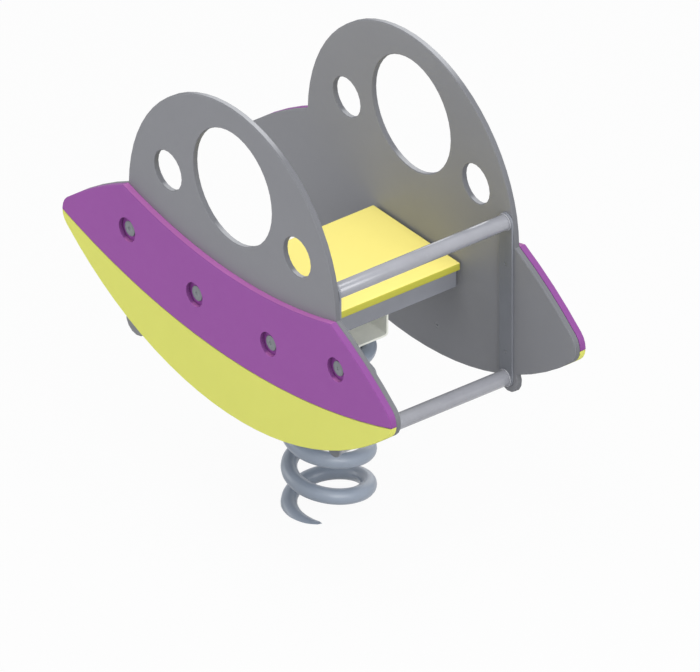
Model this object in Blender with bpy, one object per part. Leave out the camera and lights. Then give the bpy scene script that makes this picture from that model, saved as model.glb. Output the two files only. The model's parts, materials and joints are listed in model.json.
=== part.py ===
"""Spring rider seesaw shaped like a flying saucer, for one child.

Two saucer-shaped side panels carry a seat board, a handlebar and foot bars. A folded tray and
a saddle bracket join them to one coil spring, whose lower end is clamped to an anchor plate
that lies below the ground line.

Metres, +Z up, +X towards the handlebar. The origin is under the middle of the anchor plate,
on the spring's axis.
"""

import math

import bmesh
import bpy
from mathutils import Vector

# Clearances
GAP = 0.0003                # between pieces that touch on the real object
SEAM = 0.0006               # between the purple band and the yellow crescent
WIRE_CLEARANCE = 0.0010     # round the faceted wire inside a clamp
SEAT_END_CLEARANCE = 0.005

# Anchor plate, below the ground line
ANCHOR_SIDE = 0.300
ANCHOR_THICKNESS = 0.008
ANCHOR_CORNER_R = 0.022
ANCHOR_HOLE_R = 0.007
ANCHOR_HOLE_PITCH = 0.240

# Coil spring
WIRE_R = 0.014
COIL_R = 0.0665
SPRING_RISE = 0.3924        # from the middle of the lowest wire to the middle of the highest
ACTIVE_TURNS = 5.573
END_TURN_ANGLE = math.radians(150)
BLEND_ANGLE = math.radians(27)
TOP_END_ANGLE = math.radians(-48)
POINTS_PER_TURN = 24

# Clamps that hold the two end turns
CLAMP_WIDTH = 0.028
CLAMP_HEEL = 0.019
CLAMP_FLOOR = 0.0055
CLAMP_TOE = 0.008           # from the middle of the wire out to the clamp's tip
CLAMP_BOLT_R = 0.005
CLAMP_BOLT_FROM_WIRE = 0.024
TOP_CLAMP_ANGLES = (math.radians(-34), math.radians(95))
BOTTOM_CLAMP_ANGLES = (math.radians(-10), math.radians(51), math.radians(112))

# Saddle bracket, a folded channel between spring and tray
SADDLE_THICKNESS = 0.004
SADDLE_LENGTH = 0.104
SADDLE_WIDTH = 0.171
SADDLE_LIP = 0.030
SADDLE_BEND_R = 0.003
SADDLE_TO_TRAY = 0.1252     # from the saddle's underside to the tray's underside

# Seat tray and seat board
TRAY_SHEET = 0.003
TRAY_LENGTH = 0.226
TRAY_FLANGE = 0.039
TRAY_BEND_R = 0.004
SEAT_LENGTH = 0.235
SEAT_FORWARD = 0.009
SEAT_THICKNESS = 0.014
SEAT_ROUND = 0.0018

# Side panels. Heights are measured from the saucer's tips.
SADDLE_TO_TIPS = 0.1134
SAUCER_BACK = 0.013         # from the spring's axis back to the saucers' middle
INNER_WIDTH = 0.3685
PANEL_THICKNESS = 0.010
OVERLAY_THICKNESS = 0.012
PANEL_CHAMFER = 0.0012
SAUCER_LENGTH = 0.890
SAUCER_DEPTH = 0.186
BELLY_R = 0.6658
NOSE_R = 0.0343
DOME_R = 0.281
DOME_RISE = 0.123
SHOULDER_RISE = 0.1245
WING_R = 0.7474
BAND_WAIST_RISE = 0.0845
BAND_DROP = 0.0755
SEAM_NOSE_ANGLE = math.radians(-2.7)
LOBE_R = 0.028

# Holes in the dome
BIG_HOLE_R = 0.1058
BIG_HOLE_RISE = 0.2507
SMALL_HOLE_R = 0.0364
SMALL_HOLE_X = 0.1747
SMALL_HOLE_RISE = 0.199

# Handlebar, foot bars and the uprights between them
BAR_R = 0.014
BAR_WALL = 0.0025
BAR_X = 0.2605              # from the saucers' middle
HANDLE_RISE = 0.168
FOOT_DROP = 0.1365
UPRIGHT_THICKNESS = 0.004
UPRIGHT_WIDTH = 0.034

# Wide flat bolts in the band's round recesses
BOLT_R = 0.004
BOLT_HEAD_R = 0.0205
BOLT_HEAD_HEIGHT = 0.0024
BOLT_SOCKET_R = 0.003
BOLT_RECESS_R = 0.0222
BOLT_RECESS_DEPTH = 0.0085
REAR_BOLT_FROM_TIP = 0.176
FRONT_BOLT_FROM_TIP = 0.150
OUTER_BOLT_RISE = 0.042
INNER_BOLT_X = 0.100        # from the spring's axis
INNER_BOLT_RISE = 0.0035
INSERT_R = 0.007
INSERT_LENGTH = 0.008
NUT_R = 0.0075
NUT_HEIGHT = 0.0065

# Countersunk screws that the overlays hide, and small screws that hold the overlays
SCREW_R = 0.003
SCREW_HEAD_R = 0.0062
SCREW_HEAD_HEIGHT = 0.0034
UPRIGHT_SCREW_RISES = (0.085, -0.086)
REAR_SCREW_LENGTH = 0.030
CRESCENT_SCREW_X = 0.070
CRESCENT_SCREW_DROP = 0.128
SEAT_BOLT_X = 0.034
SEAT_BOLT_HEAD_R = 0.0075
SEAT_BOLT_HEAD_HEIGHT = 0.0045
SEAT_BOLT_BITE = 0.009
CLAMP_HEAD_R = 0.0095
CLAMP_HEAD_HEIGHT = 0.0064
CLAMP_NUT_HEIGHT = 0.008

# Facets
ROUND_STEPS = 24
HEAD_STEPS = 18
BOLT_STEPS = 12
WIRE_BEVEL_RESOLUTION = 1
WIRE_TILT = math.radians(30)    # puts a corner of the wire's section at its top and bottom

# Heights worked out from the sizes above
BOTTOM_WIRE_Z = ANCHOR_THICKNESS + GAP + WIRE_R
TOP_WIRE_Z = BOTTOM_WIRE_Z + SPRING_RISE
PIVOT_Z = (BOTTOM_WIRE_Z + TOP_WIRE_Z) / 2
SADDLE_Z = TOP_WIRE_Z + WIRE_R + GAP
TRAY_Z = SADDLE_Z + SADDLE_TO_TRAY
SEAT_Z = TRAY_Z + TRAY_SHEET + GAP
TIP_Z = SADDLE_Z + SADDLE_TO_TIPS
PANEL_Y = INNER_WIDTH / 2
OVERLAY_Y = PANEL_Y + PANEL_THICKNESS + GAP
RECESS_FLOOR = OVERLAY_THICKNESS - BOLT_RECESS_DEPTH

# The panel's own axes are X along, Y up and Z outwards
SIDES = {"right": (-1, (math.pi / 2, 0, 0)), "left": (1, (math.pi / 2, 0, math.pi))}

COLOURS = {
    "grey_panel": ((0.215, 0.223, 0.246, 1), 0.55, 0.0),
    "purple_panel": ((0.305, 0.098, 0.352, 1), 0.50, 0.0),
    "yellow_panel": ((0.665, 0.665, 0.145, 1), 0.50, 0.0),
    "seat_yellow": ((0.880, 0.760, 0.230, 1), 0.50, 0.0),
    "bar_steel": ((0.420, 0.430, 0.470, 1), 0.35, 0.8),
    "bracket_steel": ((0.330, 0.340, 0.380, 1), 0.45, 0.7),
    "spring_steel": ((0.200, 0.235, 0.285, 1), 0.40, 0.6),
    "fastener_steel": ((0.400, 0.410, 0.430, 1), 0.35, 0.9),
}


def clear_scene():
    for item in list(bpy.data.objects):
        bpy.data.objects.remove(item, do_unlink=True)


def material(name):
    found = bpy.data.materials.get(name)
    if found:
        return found
    colour, roughness, metallic = COLOURS[name]
    made = bpy.data.materials.new(name)
    made.use_nodes = True
    shader = made.node_tree.nodes["Principled BSDF"]
    shader.inputs["Base Color"].default_value = colour
    shader.inputs["Roughness"].default_value = roughness
    shader.inputs["Metallic"].default_value = metallic
    made.diffuse_color = colour
    return made


def pivot(name, height):
    empty = bpy.data.objects.new(name, None)
    empty.empty_display_size = 0.1
    empty.location = (0, 0, height)
    bpy.context.scene.collection.objects.link(empty)
    return empty


def add_object(name, mesh, finish, place=(0, 0, 0), turn=(0, 0, 0), parent=None):
    """Link a piece, placed in world space and carried by its parent."""
    made = bpy.data.objects.new(name, mesh)
    made.data.materials.clear()
    made.data.materials.append(material(finish))
    made.rotation_euler = turn
    made.location = Vector(place)
    if parent:
        made.parent = parent
        made.location = Vector(place) - parent.location
    bpy.context.scene.collection.objects.link(made)
    return made


def cut(piece, mesh, place=(0, 0, 0), turn=(0, 0, 0)):
    """Subtract a hidden cutter mesh, placed in world space, from a piece."""
    tool = bpy.data.objects.new(piece.name + "_cutter", mesh)
    tool.rotation_euler = turn
    tool.location = place
    tool.hide_render = True
    tool.display_type = "WIRE"
    bpy.context.scene.collection.objects.link(tool)
    modifier = piece.modifiers.new("cut", "BOOLEAN")
    modifier.operation = "DIFFERENCE"
    modifier.solver = "EXACT"
    modifier.object = tool
    return modifier


def finish_mesh(work, name, sharp_degrees=None):
    bmesh.ops.recalc_face_normals(work, faces=work.faces[:])
    mesh = bpy.data.meshes.new(name)
    work.to_mesh(mesh)
    work.free()
    if sharp_degrees is not None:
        mesh.shade_smooth()
        mesh.set_sharp_from_angle(angle=math.radians(sharp_degrees))
    return mesh


def arc(centre, radius, start, end, steps):
    """Points on an arc, with both ends, in a plane."""
    points = []
    for step in range(steps + 1):
        angle = start + (end - start) * step / steps
        points.append((centre[0] + radius * math.cos(angle), centre[1] + radius * math.sin(angle)))
    return points


def angle_at(centre, point):
    return math.atan2(point[1] - centre[1], point[0] - centre[0])


def circles_meet(centre_a, radius_a, centre_b, radius_b):
    """The two points where circles cross, the one with less X first."""
    across = math.dist(centre_a, centre_b)
    along = (across ** 2 + radius_a ** 2 - radius_b ** 2) / (2 * across)
    half = math.sqrt(radius_a ** 2 - along ** 2)
    unit = ((centre_b[0] - centre_a[0]) / across, (centre_b[1] - centre_a[1]) / across)
    middle = (centre_a[0] + unit[0] * along, centre_a[1] + unit[1] * along)
    points = [
        (middle[0] - unit[1] * half, middle[1] + unit[0] * half),
        (middle[0] + unit[1] * half, middle[1] - unit[0] * half),
    ]
    return sorted(points)


def towards(centre, point, radius):
    """The point on a circle in the direction of another point."""
    angle = angle_at(centre, point)
    return (centre[0] + radius * math.cos(angle), centre[1] + radius * math.sin(angle))


class Saucer:
    """Circles that make up the right half of the panel's outline, with the tips at height 0."""

    def __init__(self):
        tip = SAUCER_LENGTH / 2
        self.belly = (0, BELLY_R - SAUCER_DEPTH)
        self.dome = (0, DOME_RISE)
        run = math.sqrt(DOME_R ** 2 - (SHOULDER_RISE - DOME_RISE) ** 2)
        self.shoulder = (run, SHOULDER_RISE)
        # The nose touches the belly inside, at the saucer's length
        nose_x = tip - NOSE_R
        drop = math.sqrt((BELLY_R - NOSE_R) ** 2 - nose_x ** 2)
        self.nose = (nose_x, self.belly[1] - drop)
        self.belly_end = towards(self.belly, self.nose, BELLY_R)
        # The wing runs through the shoulder and touches the nose inside
        inner, outer = circles_meet(self.shoulder, WING_R, self.nose, WING_R - NOSE_R)
        self.wing = inner if inner[1] < outer[1] else outer
        self.wing_end = towards(self.wing, self.nose, WING_R)
        self.lobe = (BAR_X, -FOOT_DROP)
        self.lobe_start, self.lobe_end = circles_meet(self.belly, BELLY_R, self.lobe, LOBE_R)

    def belly_arc(self, start, end, steps):
        return arc(self.belly, BELLY_R, angle_at(self.belly, start), angle_at(self.belly, end), steps)

    def lobe_arc(self):
        start = angle_at(self.lobe, self.lobe_start)
        end = angle_at(self.lobe, self.lobe_end)
        return arc(self.lobe, LOBE_R, start - (2 * math.pi if start > 0 else 0), end, 8)

    def nose_arc(self, start, end, steps):
        """Up round the nose, with a point at its very tip where the arc passes it."""
        first = angle_at(self.nose, start)
        last = angle_at(self.nose, end)
        if first < 0 < last:
            lower = arc(self.nose, NOSE_R, first, 0, steps)
            return lower + arc(self.nose, NOSE_R, 0, last, steps)[1:]
        return arc(self.nose, NOSE_R, first, last, steps)

    def wing_arc(self):
        start = angle_at(self.wing, self.wing_end)
        return arc(self.wing, WING_R, start, angle_at(self.wing, self.shoulder), 4)

    def panel_half(self, with_lobe):
        bottom = (0, -SAUCER_DEPTH)
        if with_lobe:
            half = self.belly_arc(bottom, self.lobe_start, 6)
            half += self.lobe_arc()
            half += self.belly_arc(self.lobe_end, self.belly_end, 4)
        else:
            half = self.belly_arc(bottom, self.belly_end, 12)
        half += self.nose_arc(self.belly_end, self.wing_end, 3)
        half += self.wing_arc()
        half += arc(self.dome, DOME_R, angle_at(self.dome, self.shoulder), math.pi / 2, 16)
        return half

    def panel(self, lobe_ahead, lobe_behind):
        """The panel's outline, with a lobe under the bar's end ahead of the middle and behind it."""
        return joined_halves(self.panel_half(lobe_ahead), self.panel_half(lobe_behind))

    def seam(self, offset):
        """The purple and yellow pieces' shared line, and the point where it meets the nose."""
        x = self.nose[0] + NOSE_R * math.cos(SEAM_NOSE_ANGLE)
        rise = self.nose[1] + NOSE_R * math.sin(SEAM_NOSE_ANGLE) + BAND_DROP
        radius = (x ** 2 + rise ** 2) / (2 * rise)
        centre = (0, radius - BAND_DROP)
        radius += offset
        point = circles_meet(centre, radius, self.nose, NOSE_R)[1]
        points = arc(centre, radius, -math.pi / 2, angle_at(centre, point), 10)
        return points, point

    def band(self):
        lower, corner = self.seam(0)
        sag = self.shoulder[1] - BAND_WAIST_RISE
        radius = (self.shoulder[0] ** 2 + sag ** 2) / (2 * sag)
        centre = (0, BAND_WAIST_RISE + radius)
        upper = arc(centre, radius, angle_at(centre, self.shoulder), -math.pi / 2, 8)
        half = lower + self.nose_arc(corner, self.wing_end, 3) + self.wing_arc() + upper
        return mirrored_loop(half)

    def crescent(self):
        upper, corner = self.seam(SEAM)
        half = self.belly_arc((0, -SAUCER_DEPTH), self.belly_end, 12)
        half += self.nose_arc(self.belly_end, corner, 3)
        half += reversed(upper)
        return mirrored_loop(half)


def without_repeats(points):
    cleaned = []
    for point in points:
        if not cleaned or math.dist(cleaned[-1], point) > 1e-6:
            cleaned.append(point)
    return cleaned


def joined_halves(ahead, behind):
    """Close a half outline, whose ends lie on X = 0, with the mirror image of another."""
    mirror = [(-x, y) for x, y in reversed(without_repeats(behind)[1:-1])]
    return without_repeats(ahead) + mirror


def mirrored_loop(half):
    return joined_halves(half, half)


def shifted_loop(loop, distance):
    """Move each point of a loop to its left by a distance, square to the loop."""
    moved = []
    count = len(loop)
    for index, point in enumerate(loop):
        before = Vector(loop[index - 1])
        here = Vector(point)
        after = Vector(loop[(index + 1) % count])
        first = (here - before).normalized()
        second = (after - here).normalized()
        normal = Vector((-first.y - second.y, first.x + second.x)).normalized()
        stretch = max(0.5, normal.dot(Vector((-first.y, first.x))))
        moved.append(tuple(here + normal * distance / stretch))
    return moved


def plate_mesh(name, outline, holes, thickness, chamfer_back, chamfer_front):
    """A flat plate with holes and chamfered rims, from height 0 to its thickness.

    The outline runs anticlockwise and each hole clockwise, so their left side is material.
    """
    work = bmesh.new()
    caps = {0: [], 1: []}
    for loop in [outline] + holes:
        levels = []
        if chamfer_back:
            levels.append((shifted_loop(loop, chamfer_back), 0))
        levels.append((loop, chamfer_back))
        levels.append((loop, thickness - chamfer_front))
        if chamfer_front:
            levels.append((shifted_loop(loop, chamfer_front), thickness))
        rings = []
        for points, height in levels:
            rings.append([work.verts.new((x, y, height)) for x, y in points])
        for low, high in zip(rings, rings[1:]):
            for index in range(len(low)):
                after = (index + 1) % len(low)
                work.faces.new((low[index], low[after], high[after], high[index]))
        for side, ring in ((0, rings[0]), (1, rings[-1])):
            for index in range(len(ring)):
                pair = (ring[index], ring[(index + 1) % len(ring)])
                caps[side].append(work.edges.get(pair))
    for edges in caps.values():
        bmesh.ops.triangle_fill(work, edges=edges, use_beauty=True)
    return finish_mesh(work, name)


def circle_loop(centre, radius, steps, clockwise=False):
    turn = -2 * math.pi if clockwise else 2 * math.pi
    return arc(centre, radius, 0, turn, steps)[:-1]


def add_turned(work, profile, steps, centre=(0, 0)):
    """Add a turned solid to a bmesh. Each profile entry is radius, height and, if hexagonal, True."""
    rings = []
    for entry in profile:
        radius, height = entry[0], entry[1]
        hexagonal = len(entry) > 2 and entry[2]
        if radius == 0:
            rings.append([work.verts.new((centre[0], centre[1], height))])
            continue
        ring = []
        for step in range(steps):
            angle = 2 * math.pi * step / steps
            reach = radius
            if hexagonal:
                past_corner = angle % (math.pi / 3)
                reach = radius * math.cos(math.pi / 6) / math.cos(past_corner - math.pi / 6)
            x = centre[0] + reach * math.cos(angle)
            y = centre[1] + reach * math.sin(angle)
            ring.append(work.verts.new((x, y, height)))
        rings.append(ring)
    pairs = list(zip(rings, rings[1:]))
    if len(rings[0]) > 1 and len(rings[-1]) > 1:
        pairs.append((rings[-1], rings[0]))
    for low, high in pairs:
        for index in range(steps):
            after = (index + 1) % steps
            if len(low) == 1:
                work.faces.new((low[0], high[after], high[index]))
            elif len(high) == 1:
                work.faces.new((low[index], low[after], high[0]))
            else:
                work.faces.new((low[index], low[after], high[after], high[index]))


def turned_mesh(name, profile, steps, sharp_degrees=35):
    work = bmesh.new()
    add_turned(work, profile, steps)
    return finish_mesh(work, name, sharp_degrees)


def turned_cutter(name, stations, steps=BOLT_STEPS):
    """One mesh with a turned hole at each station, a centre and its profile."""
    work = bmesh.new()
    for centre, profile in stations:
        add_turned(work, profile, steps, centre)
    return finish_mesh(work, name)


def prism_mesh(name, outline, width):
    """A profile in X and Z, extruded evenly both ways along Y."""
    work = bmesh.new()
    near = [work.verts.new((x, -width / 2, z)) for x, z in outline]
    face = work.faces.new(near)
    grown = bmesh.ops.extrude_face_region(work, geom=[face])
    moved = [item for item in grown["geom"] if isinstance(item, bmesh.types.BMVert)]
    bmesh.ops.translate(work, verts=moved, vec=(0, width, 0))
    return finish_mesh(work, name)


def plain_hole(radius, low, high):
    return [(0, low), (radius, low), (radius, high), (0, high)]


def countersunk_hole(low, face):
    """A screw's hole whose cone opens at the height of the face, above the hole's low end."""
    wide = SCREW_HEAD_R + GAP
    return [(0, low), (SCREW_R + GAP, low), (SCREW_R + GAP, face - SCREW_HEAD_HEIGHT), (wide, face),
            (wide, face + 0.002), (0, face + 0.002)]


def countersunk_screw(name, length):
    """Screw with its flat head at height 0 and its shank running down."""
    socket_r = SCREW_HEAD_R * 0.35
    socket_floor = -SCREW_HEAD_HEIGHT * 0.5
    profile = [(0, -length), (SCREW_R, -length), (SCREW_R, -SCREW_HEAD_HEIGHT - GAP),
               (SCREW_HEAD_R, -GAP), (socket_r, -GAP, True), (socket_r, socket_floor, True),
               (0, socket_floor)]
    return turned_mesh(name, profile, BOLT_STEPS)


def wide_bolt(name, length):
    """Bolt with a wide, low head and a hexagonal socket.

    Its head's seat is at height 0 and its shank runs down.
    """
    head = BOLT_HEAD_R
    rise = BOLT_HEAD_HEIGHT
    profile = [(0, -length), (BOLT_R, -length), (BOLT_R, 0), (head, 0), (head, rise * 0.5),
               (head - rise, rise), (BOLT_SOCKET_R, rise, True), (BOLT_SOCKET_R, rise * 0.3, True),
               (0, rise * 0.3)]
    return turned_mesh(name, profile, HEAD_STEPS)


def hexagon_bolt(name, shank_r, length, head_r, head_height):
    """Hexagon-headed bolt with its head's seat at height 0 and its shank running down."""
    profile = [(0, -length), (shank_r, -length), (shank_r, 0), (head_r, 0, True),
               (head_r, head_height * 0.8, True), (head_r * 0.8, head_height), (0, head_height)]
    return turned_mesh(name, profile, BOLT_STEPS, 25)


def nut_mesh(name, bore_r, outer_r, height):
    """Hexagon nut standing on height 0."""
    profile = [(bore_r, 0), (outer_r, 0, True), (outer_r, height, True), (bore_r, height)]
    return turned_mesh(name, profile, BOLT_STEPS, 25)


def spring_path():
    """Middle line of the wire, from its top end to its bottom end.

    It falls anticlockwise, seen from above. Each end turn lies level, and the wire's cut end
    runs straight for one wire diameter.
    """
    active = ACTIVE_TURNS * 2 * math.pi
    slope = SPRING_RISE / active
    total = 2 * END_TURN_ANGLE + active + BLEND_ANGLE
    steps = round(POINTS_PER_TURN * total / (2 * math.pi))

    def fallen(past):
        """How far the wire has fallen at an angle past the start of the blend."""
        if past <= 0:
            return 0
        if past < BLEND_ANGLE:
            return slope * past ** 2 / (2 * BLEND_ANGLE)
        return slope * (past - BLEND_ANGLE / 2)

    points = []
    for step in range(steps + 1):
        angle = total * step / steps
        down = fallen(angle - END_TURN_ANGLE)
        left = fallen(total - END_TURN_ANGLE - angle)
        height = TOP_WIRE_Z - down if angle < total / 2 else BOTTOM_WIRE_Z + left
        world = TOP_END_ANGLE + angle
        points.append(Vector((COIL_R * math.cos(world), COIL_R * math.sin(world), height)))
    first_angle = TOP_END_ANGLE
    last_angle = TOP_END_ANGLE + total
    run = 2 * WIRE_R
    back = Vector((math.sin(first_angle), -math.cos(first_angle), 0))
    ahead = Vector((-math.sin(last_angle), math.cos(last_angle), 0))
    start = [points[0] + back * run, points[0] + back * run / 2]
    end = [points[-1] + ahead * run / 2, points[-1] + ahead * run]
    return start + points + end


def least_gap(points):
    """Least distance between the wire's surface and its own next turns."""
    apart = POINTS_PER_TURN // 2
    least = math.inf
    for index, here in enumerate(points):
        for there in points[index + apart:]:
            least = min(least, (here - there).length)
    return least - 2 * WIRE_R


def make_spring(parent):
    points = spring_path()
    print(f"Least gap between the spring's turns: {least_gap(points) * 1000:.2f} mm")
    curve = bpy.data.curves.new("spring", "CURVE")
    curve.dimensions = "3D"
    curve.bevel_depth = WIRE_R
    curve.bevel_resolution = WIRE_BEVEL_RESOLUTION
    curve.use_fill_caps = True
    curve.twist_mode = "Z_UP"
    spline = curve.splines.new("POLY")
    spline.points.add(len(points) - 1)
    for target, point in zip(spline.points, points):
        local = point - parent.location
        target.co = (local.x, local.y, local.z, 1)
        target.tilt = WIRE_TILT
    made = bpy.data.objects.new("spring", curve)
    curve.materials.append(material("spring_steel"))
    made.parent = parent
    bpy.context.scene.collection.objects.link(made)
    return made


def make_anchor_plate():
    half = ANCHOR_SIDE / 2 - ANCHOR_CORNER_R
    outline = []
    for x_sign, y_sign, start in ((1, 1, 0), (-1, 1, 90), (-1, -1, 180), (1, -1, 270)):
        centre = (x_sign * half, y_sign * half)
        first = math.radians(start)
        outline += arc(centre, ANCHOR_CORNER_R, first, first + math.pi / 2, 5)
    reach = ANCHOR_HOLE_PITCH / 2
    corners = [(x * reach, y * reach) for x in (-1, 1) for y in (-1, 1)]
    holes = [circle_loop(centre, ANCHOR_HOLE_R, BOLT_STEPS, clockwise=True) for centre in corners]
    for angle in BOTTOM_CLAMP_ANGLES:
        holes.append(circle_loop(clamp_bolt_place(angle), CLAMP_BOLT_R + GAP, BOLT_STEPS, clockwise=True))
    mesh = plate_mesh("anchor_plate", outline, holes, ANCHOR_THICKNESS, 0, 0)
    return add_object("anchor_plate", mesh, "bracket_steel")


def clamp_bolt_place(angle):
    reach = COIL_R - CLAMP_BOLT_FROM_WIRE
    return (reach * math.cos(angle), reach * math.sin(angle))


def wire_ring_mesh():
    """A ring round the spring's axis, a little fatter than the wire, at height 0."""
    work = bmesh.new()
    radius = WIRE_R + WIRE_CLEARANCE
    section = []
    for x, z in circle_loop((COIL_R, 0), radius, BOLT_STEPS):
        section.append(work.verts.new((x, 0, z)))
    edges = []
    for index, vertex in enumerate(section):
        edges.append(work.edges.new((section[index - 1], vertex)))
    bmesh.ops.spin(work, geom=section + edges, cent=(0, 0, 0), axis=(0, 0, 1),
                   angle=2 * math.pi, steps=48, use_merge=True)
    bmesh.ops.remove_doubles(work, verts=work.verts[:], dist=1e-6)
    return finish_mesh(work, "wire_ring")


def clamp_profile(up):
    """The clamp's section, radial and vertical from the wire's middle.

    Its heel meets the plate on the side that up gives: 1 above the wire, -1 below it.
    """
    seat = WIRE_R
    floor = -(WIRE_R + CLAMP_FLOOR)
    heel = -(WIRE_R + CLAMP_HEEL)
    inside = WIRE_R * 0.9
    points = [(heel, seat), (-inside, seat), (-inside, 0), (CLAMP_TOE, 0), (CLAMP_TOE, floor + 0.003),
              (CLAMP_TOE - 0.003, floor), (heel + 0.005, floor), (heel, floor + 0.005)]
    return [(COIL_R + x, z * up) for x, z in points]


def make_clamp(name, angle, wire_z, up, ring, parent=None):
    mesh = prism_mesh(name, clamp_profile(up), CLAMP_WIDTH)
    turn = (0, 0, angle)
    clamp = add_object(name, mesh, "bracket_steel", (0, 0, wire_z), turn, parent)
    cut(clamp, ring, (0, 0, wire_z))
    hole = [((COIL_R - CLAMP_BOLT_FROM_WIRE, 0), plain_hole(CLAMP_BOLT_R + GAP, -0.05, 0.05))]
    cut(clamp, turned_cutter(name + "_bolt_hole", hole), (0, 0, wire_z), turn)
    return clamp


def make_clamps(rider, ring):
    outside = WIRE_R + CLAMP_FLOOR + GAP
    # The upper bolts pass through the saddle and carry a nut on top of it
    to_nut_top = outside + WIRE_R + GAP + SADDLE_THICKNESS + GAP + CLAMP_NUT_HEIGHT
    upper = hexagon_bolt("top_clamp_bolt", CLAMP_BOLT_R, to_nut_top + 0.002, CLAMP_HEAD_R,
                         CLAMP_HEAD_HEIGHT)
    nut = nut_mesh("top_clamp_nut", CLAMP_BOLT_R + GAP, CLAMP_HEAD_R, CLAMP_NUT_HEIGHT)
    for name, angle in zip(("right", "left"), TOP_CLAMP_ANGLES):
        make_clamp(f"top_clamp_{name}", angle, TOP_WIRE_Z, 1, ring, rider)
        x, y = clamp_bolt_place(angle)
        add_object(f"top_clamp_bolt_{name}", upper, "fastener_steel", (x, y, TOP_WIRE_Z - outside),
                   (math.pi, 0, 0), rider)
        nut_z = SADDLE_Z + SADDLE_THICKNESS + GAP
        add_object(f"top_clamp_nut_{name}", nut, "fastener_steel", (x, y, nut_z), (0, 0, 0), rider)
    # The lower bolts end inside the anchor plate's tapped holes
    depth = outside + WIRE_R + GAP + ANCHOR_THICKNESS - 0.001
    lower = hexagon_bolt("bottom_clamp_bolt", CLAMP_BOLT_R, depth, CLAMP_HEAD_R, CLAMP_HEAD_HEIGHT)
    for number, angle in enumerate(BOTTOM_CLAMP_ANGLES, 1):
        make_clamp(f"bottom_clamp_{number}", angle, BOTTOM_WIRE_Z, -1, ring)
        x, y = clamp_bolt_place(angle)
        add_object(f"bottom_clamp_bolt_{number}", lower, "fastener_steel",
                   (x, y, BOTTOM_WIRE_Z + outside))


def rounded_strip(points, thickness, bend_r):
    """Closed outline of a folded sheet, from the line of its lower or outer side.

    The sheet's material lies to the left of the line, and bend_r is its inner bend radius.
    """
    outer_r = bend_r + thickness
    outer = [points[0]]
    inner = []
    first = (Vector(points[1]) - Vector(points[0])).normalized()
    inner.append(tuple(Vector(points[0]) + Vector((-first.y, first.x)) * thickness))
    for before, here, after in zip(points, points[1:], points[2:]):
        here = Vector(here)
        arrive = (here - Vector(before)).normalized()
        leave = (Vector(after) - here).normalized()
        left_turn = arrive.x * leave.y - arrive.y * leave.x > 0
        side = Vector((-arrive.y, arrive.x))
        if left_turn:
            far_r, near_r, centre_off = outer_r, bend_r, outer_r
        else:
            far_r, near_r, centre_off = bend_r, outer_r, -bend_r
        centre = here - arrive * abs(centre_off) + side * centre_off
        start = math.atan2(-side.y, -side.x) if left_turn else math.atan2(side.y, side.x)
        sweep = math.pi / 2 if left_turn else -math.pi / 2
        outer += arc(centre, far_r, start, start + sweep, 4)
        inner += arc(centre, near_r, start, start + sweep, 4)
    last = (Vector(points[-1]) - Vector(points[-2])).normalized()
    outer.append(points[-1])
    inner.append(tuple(Vector(points[-1]) + Vector((-last.y, last.x)) * thickness))
    return outer + inner[::-1]


def make_saddle(rider):
    """Folded channel: a floor on the spring, two upright walls and two lips under the tray."""
    half = SADDLE_WIDTH / 2
    lip_end = half + SADDLE_LIP
    lip_low = SADDLE_TO_TRAY - SADDLE_THICKNESS - GAP
    outer = [(-lip_end, lip_low), (-half, lip_low), (-half, 0), (half, 0), (half, lip_low),
             (lip_end, lip_low)]
    outline = rounded_strip(outer, SADDLE_THICKNESS, SADDLE_BEND_R)
    mesh = prism_mesh("saddle_bracket", outline, SADDLE_LENGTH)
    turn = (0, 0, math.pi / 2)
    saddle = add_object("saddle_bracket", mesh, "bracket_steel", (0, 0, SADDLE_Z), turn, rider)
    holes = []
    for angle in TOP_CLAMP_ANGLES:
        holes.append((clamp_bolt_place(angle), plain_hole(CLAMP_BOLT_R + GAP, -0.01, 0.02)))
    for x, y in seat_bolt_places():
        holes.append(((x, y), plain_hole(BOLT_R + GAP, lip_low - 0.01, lip_low + 0.02)))
    cut(saddle, turned_cutter("saddle_holes", holes), (0, 0, SADDLE_Z))
    return saddle


def seat_bolt_places():
    y = (SADDLE_WIDTH + SADDLE_BEND_R + SADDLE_LIP) / 2
    return [(x * SEAT_BOLT_X, side * y) for x in (-1, 1) for side in (-1, 1)]


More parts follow.
